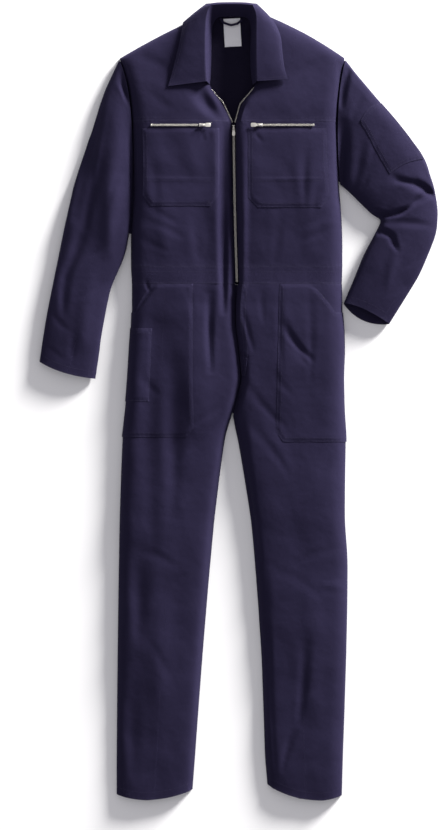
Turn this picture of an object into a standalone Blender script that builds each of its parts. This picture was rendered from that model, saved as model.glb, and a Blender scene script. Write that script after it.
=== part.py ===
"""Boiler suit laid flat on its back: front up, collar at +Y, hems at -Y.

Metres, +Z up. The origin is on the surface that the suit lies on, under the middle of its outline.
Right and left are the wearer's, so the right half is at -X. The tables hold millimetres, as a
pattern cutter writes them, and metres() turns them into metres.
"""
from collections import namedtuple
from math import cos, pi, sin, sqrt

import bmesh
import bpy
from mathutils import Matrix, Vector

MM = 0.001
MIDDLE = Vector((0.0, 1.2, 0.0))   # middle of the outline in the tables' millimetres

# ---- driving sizes, millimetres ----
CLOTH = 1.6             # wall of the twill with its turned edges
SEAM_GAP = 0.3          # between two pieces at a seam
LAY_GAP = 0.35          # between a piece and the piece it lies on
PATCH = 1.3             # wall of a patch pocket
RULE_PATCH = 1.0        # wall of the small pocket on the hip pocket
COLLAR_PLY = 0.4        # extra thickness of the collar's two plies
RIM = CLOTH + LAY_GAP   # height of a front's folded edge, just above the back
SIDE_REACH = 30.0       # how far in from a folded edge a front needs to rise
DOME = 2.5              # extra rise in the middle of a front
FULL_CROWN = 25.0       # crown from which a front takes its whole dome and folds
BACK_INSET = 0.6        # how far the back stands in from the front's edge
TAPE = 0.9              # wall of a zip tape
TAPE_WIDTH = 11.0
TAPE_HEIGHT = 6.9       # underside of the tapes along the closed zip
CHAIN_WIDTH = 6.0
CHAIN_HEIGHT = 2.6
TEETH_WIDTH = 2.6       # one row of teeth, along the open edges
CHEST_CHAIN_WIDTH = 5.0
CHEST_CHAIN_HEIGHT = 2.0
TAPE_SHOWS = 3.2        # how far a tape stands out beyond the folded edge over it
TEETH_STAND_OUT = 0.6   # between that edge and the open rows of teeth
TAPE_TOP = 8.4          # underside of the tapes at their upper ends, by the neck
FOLD_FADE = 0.15        # share of a fold's length over which it fades out at each end
SLEEVE_ROUND = 0.72     # exponent of a sleeve's upper side, rounder than an ellipse
SLEEVE_FLAT = 2.4       # how fast its lower side comes down to the floor
SLEEVE_TUCK = 0.8       # exponent of that lower side
STAND_CURVE = 1.3       # exponent of the collar stand's way down to its foot

# ---- section tables ----
# A front is a run of sections from the centre (in) over a break line (mid) to the side (out).
# crown is the height of the middle, z_in and z_out the heights of the edges, reach how far in from
# the centre edge the cloth needs to rise, and steps how many rows lead to the next section.
Section = namedtuple("Section", "x_in y_in x_mid y_mid x_out y_out crown z_in z_out reach steps")

YOKE_RIGHT = [
    Section(-15, 567, -99, 567, -215, 567, 30, 12, 12, 34, 1),
    Section(-33, 606, -109, 604, -218, 606, 30, 14, 12, 30, 1),
    Section(-62, 638, -124, 638, -223, 640, 27, 14, 11, 30, 1),
    Section(-67, 681, -136, 673, -231, 666, 23, 12, 10, 30, 1),
    Section(-68, 725, -146, 701, -237, 683, 21, 9, 9, 30, 1),
    Section(-69, 760, -149, 719, -239, 690, 19, 7, 8, 30, 1),
    Section(-69, 774, -152, 733, -241, 693, 16, 5, 6, 30, 1),
    Section(-69, 782, -153, 742, -241, 695, 11, 3, 4, 30, 1),
    Section(-70, 786, -154, 746, -242, 697, 2, 2, 2, 30, 0),
]
YOKE_LEFT = [
    Section(-6, 567, 94, 567, 198, 567, 31, 14, 12, 8, 1),
    Section(4, 604, 100, 606, 200, 606, 31, 16, 12, 12, 1),
    Section(35, 640, 108, 640, 204, 642, 28, 15, 11, 26, 1),
    Section(37, 681, 116, 673, 208, 666, 23, 12, 10, 30, 1),
    Section(37, 725, 124, 701, 211, 683, 21, 9, 9, 30, 1),
    Section(37, 760, 128, 719, 213, 690, 19, 7, 8, 30, 1),
    Section(37, 776, 130, 733, 214, 693, 16, 5, 6, 30, 1),
    Section(37, 787, 131, 744, 214, 696, 11, 3, 4, 30, 1),
    Section(37, 792, 132, 749, 214, 698, 2, 2, 2, 30, 0),
]
BODICE_RIGHT = [
    Section(-15, 567, -40, 567, -215, 567, 30, 12, 12, 34, 1),
    Section(-15, 563, -40, 563, -215, 563, 30, 12, 12, 34, 1),
    Section(-15, 556, -40, 556, -215, 556, 30, 12, 12, 34, 1),
    Section(-15, 553, -40, 553, -215, 553, 30, 12, 12, 34, 2),
    Section(-14, 491, -40, 491, -213, 491, 32, 11, 11, 36, 2),
    Section(-13, 418, -40, 418, -214, 418, 32, 10, 2, 36, 1),
    Section(-12, 396, -39, 396, -216, 396, 32, 10, 2, 36, 2),
    Section(-11, 335, -38, 335, -219, 335, 30, 10, 2, 34, 2),
    Section(-9, 275, -36, 275, -219, 275, 28, 10, 2, 32, 0),
]
BODICE_LEFT = [
    Section(-6, 567, 19, 567, 198, 567, 31, 14, 12, 8, 1),
    Section(-6, 563, 19, 563, 198, 563, 31, 14, 12, 8, 1),
    Section(-6, 556, 19, 556, 198, 556, 31, 14, 12, 8, 1),
    Section(-6, 553, 19, 553, 198, 553, 31, 14, 12, 8, 2),
    Section(-6, 491, 19, 491, 199, 491, 33, 15, 11, 8, 2),
    Section(-5, 413, 19, 413, 205, 413, 33, 15, 2, 8, 1),
    Section(-5, 393, 19, 393, 207, 393, 33, 15, 2, 8, 2),
    Section(-3, 335, 20, 335, 210, 335, 31, 15, 2, 8, 2),
    Section(-1, 275, 21, 275, 210, 275, 29, 14, 2, 8, 0),
]
WAIST_RIGHT = [
    Section(-9, 275, -36, 275, -219, 275, 28, 10, 2, 32, 2),
    Section(-8, 239, -34, 239, -217, 239, 27, 10, 2, 30, 0),
]
WAIST_LEFT = [
    Section(-1, 275, 21, 275, 210, 275, 29, 14, 2, 8, 2),
    Section(0, 239, 23, 239, 209, 239, 28, 13, 2, 8, 0),
]
LEG_RIGHT = [
    Section(-8, 239, -93, 239, -217, 239, 27, 10, 2, 30, 1),
    Section(-8, 220, -93, 220, -217, 220, 28, 11, 2, 28, 1),
    Section(-8, 200, -93, 200, -217, 200, 28, 12, 2, 27, 1),
    Section(-8, 181, -93, 181, -217, 181, 29, 12, 2, 26, 1),
    Section(-7, 149, -93, 149, -218, 149, 29, 13, 2, 24, 1),
    Section(-1, 104, -93, 104, -221, 104, 30, 15, 2, 20, 1),
    Section(4, 52, -93, 52, -224, 52, 30, 16, 2, 20, 1),
    Section(-7, 1, -92, 1, -228, 1, 29, 13, 2, 22, 1),
    Section(-15, -28, -91, -28, -231, -28, 28, 9, 2, 24, 1),
    Section(-23, -54, -91, -54, -234, -54, 27, 3, 2, 26, 1),
    Section(-28, -71, -91, -71, -236, -71, 27, 2, 2, 26, 2),
    Section(-50, -241, -146, -241, -242, -241, 26, 2, 2, 26, 2),
    Section(-73, -505, -162, -505, -246, -505, 23, 2, 2, 24, 2),
    Section(-89, -720, -172, -725, -248, -724, 19, 2, 2, 22, 1),
    Section(-94, -786, -182, -807, -248, -796, 15, 2, 2, 20, 0),
]
LEG_LEFT = [
    Section(0, 239, 82, 239, 209, 239, 28, 13, 2, 8, 1),
    Section(-2, 220, 82, 220, 210, 220, 29, 14, 2, 8, 1),
    Section(-4, 200, 81, 200, 210, 200, 29, 14, 2, 9, 1),
    Section(-5, 181, 81, 181, 210, 181, 30, 15, 2, 10, 1),
    Section(-4, 149, 80, 149, 213, 149, 30, 15, 2, 12, 1),
    Section(2, 104, 79, 104, 214, 104, 30, 16, 2, 14, 1),
    Section(7, 52, 78, 52, 212, 52, 30, 16, 2, 16, 1),
    Section(-4, 1, 77, 1, 213, 1, 29, 13, 2, 20, 1),
    Section(-12, -28, 76, -28, 214, -28, 28, 9, 2, 24, 1),
    Section(-6, -60, 75, -60, 217, -63, 27, 3, 2, 26, 1),
    Section(-1, -81, 75, -81, 217, -81, 27, 2, 2, 26, 2),
    Section(25, -241, 120, -241, 215, -241, 26, 2, 2, 26, 1),
    Section(32, -318, 126, -318, 221, -318, 25, 2, 2, 26, 2),
    Section(46, -515, 130, -515, 218, -515, 23, 2, 2, 24, 2),
    Section(53, -720, 140, -726, 211, -724, 19, 2, 2, 22, 1),
    Section(58, -776, 167, -808, 209, -798, 15, 2, 2, 20, 0),
]
# Shares of the width at which the columns lie, centre to break line and break line to side.
INNER_SHARES = (0.0, 0.09, 0.22, 0.6, 1.0)
OUTER_SHARES = (0.105, 0.3, 0.5, 0.66, 0.785, 0.885, 0.94, 0.98, 1.0)
BREAK = len(INNER_SHARES) - 1
LAST_COLUMN = BREAK + len(OUTER_SHARES)

# The largest folds: a trough (depth under zero) or a ridge from one point to another.
Fold = namedtuple("Fold", "x0 y0 x1 y1 width depth")
FOLDS = [
    Fold(-60, 215, -58, 60, 16, -3.0),
    Fold(92, 150, 148, 80, 22, -3.0),
    Fold(-150, 130, -138, -120, 26, -2.5),
    Fold(-150, 470, -60, 330, 34, -2.0),
    Fold(70, 480, 150, 330, 34, -2.0),
    Fold(120, 120, 150, -60, 26, -2.0),
    Fold(60, -40, 190, -120, 30, -2.0),
    Fold(-190, -330, -100, -390, 30, -2.0),
    Fold(70, -350, 190, -310, 30, -2.5),
    Fold(-120, -560, -200, -640, 26, -1.5),
    Fold(90, -600, 170, -680, 26, -1.5),
    Fold(-200, 700, -110, 650, 22, -2.0),
    Fold(190, 690, 110, 640, 22, -2.0),
    Fold(-300, 560, -316, 330, 20, -3.0),
    Fold(-300, 300, -350, 200, 24, -2.5),
    Fold(395, 432, 320, 452, 12, -7.0),
    Fold(290, 372, 372, 404, 14, -6.0),
    Fold(296, 352, 338, 300, 12, -4.0),
]

# A sleeve is a tube of rings. Each ring runs from its outer edge over a middle to its inner edge.
Ring = namedtuple("Ring", "x_out y_out x_mid y_mid x_in y_in height steps")
SLEEVE_RIGHT = [
    Ring(-243, 693, -220, 601, -216, 441, 20, 1),
    Ring(-278, 618, -243, 510, -217, 407, 27, 1),
    Ring(-308, 520, -260, 437, -219, 370, 29, 2),
    Ring(-340, 421, -282, 354, -229, 297, 28, 2),
    Ring(-368, 289, -312, 256, -260, 230, 27, 1),
    Ring(-391, 175, -334, 159, -276, 145, 25, 2),
    Ring(-405, 82, -355, 59, -291, 47, 20, 0),
]
SLEEVE_LEFT = [
    Ring(216, 693, 201, 587, 205, 441, 20, 1),
    Ring(291, 603, 245, 567, 220, 429, 27, 2),
    Ring(337, 551, 274, 514, 248, 401, 29, 2),
    Ring(378, 492, 305, 461, 270, 380, 29, 1),
    Ring(397, 437, 341, 411, 285, 371, 28, 1),
    Ring(405, 388, 345, 378, 287, 365, 29, 1),
    Ring(402, 340, 339, 350, 282, 354, 30, 1),
    Ring(368, 258, 309, 277, 252, 299, 28, 1),
    Ring(339, 211, 282, 228, 232, 248, 26, 1),
    Ring(306, 158, 252, 189, 212, 200, 22, 0),
]
RING_POINTS = 20
EDGE_HEIGHT = 0.32      # share of a sleeve's height at which its folded edges lie
CUFF_DROP = 24.0        # how much lower the back of the left cuff's mouth lies than its front

# The collar is folded on its roll line. Stations run from the right front end round the neck.
Station = namedtuple("Station", "x_edge y_edge z_edge x_roll y_roll z_roll x_foot y_foot z_foot")
COLLAR = [
    Station(-143, 638, 33, -65, 648, 35, -59, 643, 12),
    Station(-135, 665, 31, -67, 672, 37, -57, 668, 8),
    Station(-125, 705, 29, -68, 705, 38, -56, 702, 7),
    Station(-117, 741, 26, -68, 740, 38, -56, 736, 6),
    Station(-113, 769, 13, -67, 768, 37, -55, 760, 6),
    Station(-90, 790, 7, -65, 786, 36, -50, 773, 6),
    Station(-66, 808, 4, -58, 802, 35, -43, 780, 6),
    Station(-38, 810, 4, -37, 804, 35, -32, 782, 6),
    Station(-15, 810, 4, -15, 804, 35, -15, 782, 6),
    Station(8, 810, 4, 7, 804, 35, 3, 782, 6),
    Station(36, 808, 4, 28, 802, 35, 15, 780, 6),
    Station(55, 790, 7, 35, 786, 36, 22, 773, 6),
    Station(72, 769, 22, 35, 768, 37, 25, 760, 6),
    Station(85, 741, 26, 34, 740, 38, 24, 736, 6),
    Station(88, 705, 30, 34, 705, 38, 23, 702, 7),
    Station(92, 671, 32, 34, 672, 37, 24, 668, 8),
    Station(99, 652, 34, 35, 648, 35, 28, 643, 12),
]
FALL_SHARES = (0.0, 0.12, 0.3, 0.6, 1.0)
STAND_SHARES = (0.18, 0.45, 0.75, 1.0)

# ---- zips ----
ZIP_LINE = [(-10.7, 548), (-9.9, 491), (-8.9, 417), (-6.9, 335), (-5.0, 275), (-4.1, 243)]
MAIN_SLIDER = (-10.7, 555.5)
CHEST_CHAINS = {"right": (-177, -81.5), "left": (48.5, 151)}      # X where each chain starts and ends
CHEST_SLIDERS = {"right": -75.0, "left": 42.0}                    # X of each pull's pivot
CHEST_TURN = {"right": pi / 2, "left": -pi / 2}                   # turns a pull from -Y to the centre
CHAIN_ROWS = (1, 2)                                               # bodice rows between which a chain lies
MAIN_PULL = {"length": 16.5, "width": 6.0, "neck": 4.4}
CHEST_PULL = {"length": 18.0, "width": 8.0, "neck": 4.4}
BAR = 1.1               # pivot bar of a pull tab, square
PLAY = 0.6              # between the bar and the slider round it
EYE = {"width": 3.2, "end": 5.4, "bend": 0.45, "corner": 0.8}
TAB = {"corner": 1.4, "neck_end": 0.6, "flare_end": 3.6}          # beyond the eye's end
TUNNEL_CORNER = 0.4     # cut corners of the tunnel under a slider's bridge
SLIDER = {"half_length": 5.5, "half_wide": 3.7, "half_narrow": 3.2, "thick": 3.2, "shoulder": 0.8}
BRIDGE = {"half_width": 1.0, "half_inside": 2.6, "half_outside": 3.6, "roof": 0.9}
PIVOT_HEIGHT = BAR / 2 + PLAY + SLIDER["thick"]                   # above the slider's underside

# ---- neck ----
HANGER_LOOP = [(-38, 778, 4.6), (-31, 769, 6.0), (-16, 764, 7.0), (-3, 767, 6.2), (6, 775, 4.6)]
HANGER_SIZE = (4.5, 1.2)
LABEL_LINE = [(-14.5, 778, 2.5), (-13.2, 750, 2.4), (-11.5, 721, 2.1)]
LABEL_SIZE = (34.0, 0.8)
BACK_NECK = [(-70, 786), (-50, 783), (-15, 782), (16, 783), (37, 792)]

# ---- pockets: rows and columns of their panel's grid, and the cells they lose or halve ----
KEEP_ALL_BUT_FAR_SIDE = (0, 1, 3)      # the corner away from the centre line and down is cut off
KEEP_ALL_BUT_NEAR_SIDE = (0, 1, 2)     # the corner at the centre line and down is cut off
KEEP_BELOW = (0, 2, 3)                 # the corner away from the centre line and up is cut off
CHEST_POCKET = {"rows": (3, 8), "columns": (BREAK, 10),
                "cut": {(7, 9): KEEP_ALL_BUT_FAR_SIDE, (7, 4): KEEP_ALL_BUT_NEAR_SIDE}}
HIP_ROWS = (0, 10)
HIP_SLANT = {"right": 8, "left": 7}    # column where the slanted opening starts at the waistband
HIP_CORNER = (9, BREAK)
RULE_POCKET = {"rows": (4, 7), "columns": (8, LAST_COLUMN)}
FLY = {"rows": (0, 6), "columns": (0, 2), "cut": {(5, 1): KEEP_ALL_BUT_FAR_SIDE}}
SLEEVE_POCKET = {"rows": (1, 5), "columns": (1, 5)}

NAVY = (0.030, 0.025, 0.062, 1.0)
NAVY_INSIDE = (0.040, 0.036, 0.075, 1.0)
TAPE_NAVY = (0.018, 0.016, 0.034, 1.0)
NICKEL = (0.62, 0.60, 0.56, 1.0)
WHITE_SATIN = (0.80, 0.80, 0.82, 1.0)


def metres(point):
    return (Vector(point) - MIDDLE) * MM


def clear_scene():
    for item in list(bpy.data.objects):
        bpy.data.objects.remove(item, do_unlink=True)


def finish_of(name, colour, roughness, metallic=0.0):
    material = bpy.data.materials.new(name)
    material.use_nodes = True
    shader = material.node_tree.nodes["Principled BSDF"]
    shader.inputs["Base Color"].default_value = colour
    shader.inputs["Roughness"].default_value = roughness
    shader.inputs["Metallic"].default_value = metallic
    return material


def add_object(name, shape, material, smooth_degrees=40.0):
    """Object from a finished bmesh, with its faces turned outwards."""
    bmesh.ops.recalc_face_normals(shape, faces=shape.faces)
    if shape.calc_volume(signed=True) < 0.0:
        bmesh.ops.reverse_faces(shape, faces=shape.faces)
    mesh = bpy.data.meshes.new(name)
    shape.to_mesh(mesh)
    shape.free()
    mesh.shade_smooth()
    mesh.set_sharp_from_angle(angle=smooth_degrees * pi / 180.0)
    mesh.materials.append(material)
    item = bpy.data.objects.new(name, mesh)
    bpy.context.collection.objects.link(item)
    return item


def shape_from(points, faces):
    shape = bmesh.new()
    corners = [shape.verts.new(point) for point in points]
    for face in faces:
        shape.faces.new([corners[n] for n in face])
    return shape


# ---- height of a front above the floor ----

def quarter_round(share):
    """Height share of a folded edge: steep at the fold, level once share reaches 1."""
    share = min(max(share, 0.0), 1.0)
    return sqrt(1.0 - (1.0 - share) ** 2)


def fold_depth(x, y):
    total = 0.0
    for fold in FOLDS:
        along = Vector((fold.x1 - fold.x0, fold.y1 - fold.y0))
        start = Vector((x - fold.x0, y - fold.y0))
        share = min(max(start.dot(along) / along.length_squared, 0.0), 1.0)
        away = (start - along * share).length / fold.width
        fade = sin(pi * (FOLD_FADE + (1.0 - 2.0 * FOLD_FADE) * share))
        total += fold.depth * max(0.0, 1.0 - away * away) ** 2 * fade
    return total


def plan_point(section, share_in, share_out):
    """Place in plan at a share from centre to break line, then on to the side, and how far across."""
    first = section.x_in + (section.x_mid - section.x_in) * share_in
    x = first + (section.x_out - section.x_mid) * share_out
    width = section.x_out - section.x_in
    done = (x - section.x_in) / width
    turn = (section.x_mid - section.x_in) / width
    y = section.y_in * (done - turn) * (done - 1.0) / turn
    y += section.y_mid * done * (1.0 - done) / (turn * (1.0 - turn))
    y += section.y_out * done * (done - turn) / (1.0 - turn)
    return x, y, done, abs(width)


def front_point(section, share_in, share_out):
    """Point of a front: it rises from both edges to the crown, with its dome and folds on top."""
    x, y, done, width = plan_point(section, share_in, share_out)
    rise_in = quarter_round(done * width / section.reach)
    rise_out = quarter_round((1.0 - done) * width / SIDE_REACH)
    height = section.crown - (section.crown - section.z_in) * (1.0 - rise_in)
    height -= (section.crown - section.z_out) * (1.0 - rise_out)
    free = rise_in * rise_out * min(1.0, section.crown / FULL_CROWN)
    height += (DOME * sin(pi * done) + fold_depth(x, y)) * free
    return Vector((x, y, max(height, RIM)))


def smooth_rows(table):
    """All rows of a table, with those its steps column asks for on a smooth curve in between."""
    rows = []
    last = len(table) - 1
    for i in range(last):
        before, here = table[max(i - 1, 0)], table[i]
        after, beyond = table[i + 1], table[min(i + 2, last)]
        for k in range(here.steps):
            t = k / here.steps
            row = []
            for p, q, r, s in zip(before, here, after, beyond):
                bend = t * (2 * p - 5 * q + 4 * r - s + t * (3 * (q - r) + s - p))
                value = q + 0.5 * t * (r - p + bend)
                row.append(min(max(value, min(q, r)), max(q, r)))
            rows.append(type(here)(*row))
    rows.append(table[last])
    return rows


# ---- grids, and the walls built on them ----

def looks_down(rows):
    down = rows[1][0] - rows[0][0]
    across = rows[0][1] - rows[0][0]
    return down.x * across.y - down.y * across.x < 0.0


class Grid:
    """Rows of points of an upper surface, with an outward normal at each.

    seams tells whether the first and the last row lie on a seam, which the wall there must not cross.
    """

    def __init__(self, rows, seams=(False, False)):
        self.points = rows
        self.normals = []
        sign = -1.0 if looks_down(rows) else 1.0
        for i, row in enumerate(rows):
            line = []
            for j in range(len(row)):
                down = rows[min(i + 1, len(rows) - 1)][j] - rows[max(i - 1, 0)][j]
                across = row[min(j + 1, len(row) - 1)] - row[max(j - 1, 0)]
                line.append(down.cross(across).normalized() * sign)
            self.normals.append(line)
        for row, on_seam in ((0, seams[0]), (-1, seams[1])):
            if on_seam:
                self.normals[row] = [Vector((n.x, 0.0, n.z)).normalized() for n in self.normals[row]]

    def moved(self, key, distance, lowest):
        place = self.points[key[0]][key[1]] + self.normals[key[0]][key[1]] * distance
        place.z = max(place.z, lowest)
        return place

    def cells(self, rows=None, columns=None):
        """The corner keys of each cell in a range of rows and columns."""
        for i in range(*(rows or (0, len(self.points) - 1))):
            for j in range(*(columns or (0, len(self.points[0]) - 1))):
                yield (i, j), (i, j + 1), (i + 1, j + 1), (i + 1, j)


def wall(name, grid, faces, low, high, material, lowest=0.0):
    """Closed piece on a grid: its faces moved out by low and by high, with a rim between them."""
    keys = sorted({key for face in faces for key in face})
    index = {key: n for n, key in enumerate(keys)}
    count = len(keys)
    points = [metres(grid.moved(key, high, lowest)) for key in keys]
    points += [metres(grid.moved(key, low, lowest)) for key in keys]
    top = []
    edges = set()
    for face in faces:
        ring = [index[key] for key in face]
        top.append(tuple(ring[:3]))
        if len(ring) == 4:
            top.append((ring[0], ring[2], ring[3]))
        edges.update(zip(ring, ring[1:] + ring[:1]))
    under = [tuple(n + count for n in reversed(face)) for face in top]
    rim = []
    for a, b in sorted(edges):
        if (b, a) not in edges:
            rim += [(b, a, a + count), (b, a + count, b + count)]
    return add_object(name, shape_from(points, top + under + rim), material)


def seam_trimmed(table):
    """Table whose first and last sections stand back from the seams there by half the gap."""
    rows = list(table)
    inward = SEAM_GAP / 2 if rows[0].y_mid < rows[-1].y_mid else -SEAM_GAP / 2
    for i, gap in ((0, inward), (len(rows) - 1, -inward)):
        row = rows[i]
        rows[i] = row._replace(y_in=row.y_in + gap, y_mid=row.y_mid + gap, y_out=row.y_out + gap)
    return rows


def front_grid(table):
    rows = []
    for section in smooth_rows(seam_trimmed(table)):
        row = [front_point(section, share, 0.0) for share in INNER_SHARES]
        row += [front_point(section, 1.0, share) for share in OUTER_SHARES]
        rows.append(row)
    return Grid(rows, seams=(True, table[-1].crown > RIM + SEAM_GAP))


def panel(name, grid, material):
    return wall(name, grid, list(grid.cells()), -CLOTH, 0.0, material, lowest=RIM)


def patch(name, grid, spec, material, low=LAY_GAP, thickness=PATCH):
    """A piece on a panel: the cells of a range, of which cut drops some and halves others."""
    faces = []
    for face in grid.cells(spec["rows"], spec["columns"]):
        keep = spec.get("cut", {}).get(face[0], (0, 1, 2, 3))
        if keep:
            faces.append(tuple(face[n] for n in keep))
    return wall(name, grid, faces, low, low + thickness, material, lowest=RIM)


def hip_pocket_spec(side):
    """Hip pocket whose opening runs down and out, one column for each row."""
    start = HIP_SLANT[side]
    cut = {HIP_CORNER: KEEP_ALL_BUT_NEAR_SIDE}
    for row in range(3):
        cut[(row, start + row)] = KEEP_BELOW
        for column in range(start + row + 1, LAST_COLUMN):
            cut[(row, column)] = ()
    return {"rows": HIP_ROWS, "columns": (BREAK, LAST_COLUMN), "cut": cut}


# ---- sleeves ----

def ring_points(ring, inset, drop):
    """Closed ring of a sleeve: flat below, crowned above, folded at both edges."""
    start = Vector((ring.x_out, ring.y_out))
    end = Vector((ring.x_in, ring.y_in))
    upper = Vector((ring.x_mid, ring.y_mid))
    lower = upper - Vector((0.0, drop))
    edge = ring.height * EDGE_HEIGHT
    inset_share = inset / (end - start).length
    points = []
    for k in range(RING_POINTS):
        angle = 2.0 * pi * k / RING_POINTS
        share = 0.5 - (0.5 - inset_share) * cos(angle)
        rise = sin(angle)
        bend = (upper if rise > -0.01 else lower) * 2.0 - (start + end) / 2.0
        place = start * (1 - share) ** 2 + bend * 2 * share * (1 - share) + end * share ** 2
        if rise > -0.01:
            rise = max(rise, 0.0)
            height = edge + (ring.height - inset - edge) * rise ** SLEEVE_ROUND
            height += fold_depth(place.x, place.y) * rise
        else:
            height = edge - (edge - inset) * min(1.0, -SLEEVE_FLAT * rise) ** SLEEVE_TUCK
        points.append(Vector((place.x, place.y, max(height, inset))))
    return points


def sleeve(name, table, drop, material):
    """Sleeve tube with an open armhole and an open cuff. Returns the grid of its upper side."""
    rings = smooth_rows(table)
    last = len(rings) - 1
    drops = [0.0] * (last - 1) + [drop * 0.25, drop]
    outer = [ring_points(ring, 0.0, low) for ring, low in zip(rings, drops)]
    inner = [ring_points(ring, CLOTH, low) for ring, low in zip(rings, drops)]
    points = [metres(point) for ring in outer + inner for point in ring]
    base = (last + 1) * RING_POINTS
    faces = []
    for i in range(last):
        for k in range(RING_POINTS):
            a = i * RING_POINTS + k
            b = i * RING_POINTS + (k + 1) % RING_POINTS
            c, d = b + RING_POINTS, a + RING_POINTS
            faces += [(a, b, c), (a, c, d)]
            faces += [(base + c, base + b, base + a), (base + d, base + c, base + a)]
    for first in (0, last * RING_POINTS):
        for k in range(RING_POINTS):
            a, b = first + k, first + (k + 1) % RING_POINTS
            faces += [(b, a, base + a), (b, base + a, base + b)]
    add_object(name, shape_from(points, faces), material)
    return Grid([ring[:RING_POINTS // 2 + 1] for ring in outer])


# ---- collar ----

def collar_section(station):
    """Outer face at a station: from the fall's edge over the roll line down to the stand's foot."""
    edge = Vector((station.x_edge, station.y_edge, station.z_edge))
    roll = Vector((station.x_roll, station.y_roll, station.z_roll))
    foot = Vector((station.x_foot, station.y_foot, station.z_foot))
    line = []
    for share in FALL_SHARES:
        place = edge.lerp(roll, share)
        place.z = edge.z + (roll.z - edge.z) * quarter_round(share)
        line.append(place)
    for share in STAND_SHARES:
        place = roll.lerp(foot, share)
        place.z = foot.z + (roll.z - foot.z) * (1.0 - share ** STAND_CURVE)
        line.append(place)
    return line


def collar(material):
    grid = Grid([collar_section(station) for station in COLLAR])
    return wall("collar", grid, list(grid.cells()), -CLOTH, COLLAR_PLY, material)


# ---- backs, flat on the floor ----

def flat_plate(name, outline, material):
    """Cloth lying on the floor, from its outline in plan."""
    shape = bmesh.new()
    corners = [shape.verts.new(metres((x, y, 0.0))) for x, y in outline]
    face = shape.faces.new(corners)
    grown = bmesh.ops.extrude_face_region(shape, geom=[face])
    raised = [item for item in grown["geom"] if isinstance(item, bmesh.types.BMVert)]
    bmesh.ops.translate(shape, verts=raised, vec=(0.0, 0.0, CLOTH * MM))
    bmesh.ops.triangulate(shape, faces=shape.faces)
    return add_object(name, shape, material)


def side_line(table, edge, inset):
    """Plan line of a table's inner or outer edge, moved along X by inset."""
    return [(getattr(row, "x_" + edge) + inset, getattr(row, "y_" + edge)) for row in smooth_rows(table)]


def standing_back(outline, seam, gap):
    """Outline whose points on a seam's line are moved along Y by gap."""
    return [(x, y + gap) if abs(y - seam) < 0.01 else (x, y) for x, y in outline]


def backs(cloth):
    half = SEAM_GAP / 2
    waist, hip = WAIST_RIGHT[0].y_in, WAIST_RIGHT[-1].y_in
    halves = {}
    for side, yoke, bodice, inset in (("right", YOKE_RIGHT, BODICE_RIGHT, BACK_INSET),
                                      ("left", YOKE_LEFT, BODICE_LEFT, -BACK_INSET)):
        shoulder = [plan_point(yoke[-1], 1.0, share)[:2] for share in (0.0, 0.5)]
        halves[side] = shoulder + side_line(yoke, "out", inset)[::-1] + side_line(bodice, "out", inset)[1:]
    outline = BACK_NECK[::-1] + halves["right"] + halves["left"][::-1]
    flat_plate("back_bodice", standing_back(outline, waist, half), cloth)
    band = side_line(WAIST_RIGHT, "out", BACK_INSET) + side_line(WAIST_LEFT, "out", -BACK_INSET)[::-1]
    band = standing_back(standing_back(band, waist, -half), hip, half)
    flat_plate("back_waistband", band, cloth)
    for name, table, inset in (("back_leg_right", LEG_RIGHT, BACK_INSET),
                               ("back_leg_left", LEG_LEFT, -BACK_INSET)):
        shares = [(share, 0.0) for share in INNER_SHARES] + [(1.0, share) for share in OUTER_SHARES]
        hem = [plan_point(table[-1], *pair)[:2] for pair in shares[-4:0:-1]]
        outline = side_line(table, "out", inset) + hem + side_line(table, "in", -inset)[::-1]
        flat_plate(name, standing_back(outline, hip, -half), cloth)


# ---- zips ----

def bar(name, route, width, height, material):
    """Flat strip along a route of points on its underside's middle line."""
    rows = []
    for i, point in enumerate(route):
        along = route[min(i + 1, len(route) - 1)] - route[max(i - 1, 0)]
        across = Vector((along.y, -along.x, 0.0)).normalized() * (width / 2.0)
        rows.append([point - across, point + across])
    grid = Grid(rows)
    return wall(name, grid, list(grid.cells()), 0.0, height, material)


def centre_edge(rows, offset):
    """Route beside the centre edge of one side's fronts, offset towards the opening."""
    route = []
    for row in rows:
        across = row[0] - row[1]
        across.z = 0.0
        route.append(row[0] + across.normalized() * offset)
    return route


def at_height(route, low, high):
    """Route at height low up to the chest seam, from where it climbs to high at its end."""
    turn = YOKE_RIGHT[0].y_in
    top = max(point.y for point in route)
    line = []
    for point in route:
        climb = min(max((point.y - turn) / (top - turn), 0.0), 1.0)
        line.append(Vector((point.x, point.y, low + (high - low) * climb)))
    return line


def front_zip(grids, tape, metal):
    chain_height = TAPE_HEIGHT + TAPE + LAY_GAP
    for side in ("right", "left"):
        yoke = grids["front_yoke_" + side].points
        bodice = grids["front_bodice_" + side].points
        waist = grids["front_waistband_" + side].points
        middle = centre_edge(yoke[2::-1] + bodice[1:-1] + waist[:-1], TAPE_SHOWS - TAPE_WIDTH / 2)
        bar("zip_tape_" + side, at_height(middle, TAPE_HEIGHT, TAPE_TOP), TAPE_WIDTH, TAPE, tape)
        edge = centre_edge(yoke[2::-1], TEETH_STAND_OUT + TEETH_WIDTH / 2)
        top = at_height(edge, chain_height, TAPE_TOP + TAPE + LAY_GAP)
        bar("main_zip_teeth_" + side, top, TEETH_WIDTH, CHAIN_HEIGHT, metal)
    chain = [Vector((x, y, chain_height)) for x, y in ZIP_LINE]
    bar("main_zip_chain", chain, CHAIN_WIDTH, CHAIN_HEIGHT, metal)
    pivot = (MAIN_SLIDER[0], MAIN_SLIDER[1], chain_height + PIVOT_HEIGHT)
    slider_and_pull("main", pivot, 0.0, MAIN_PULL, metal)


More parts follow.
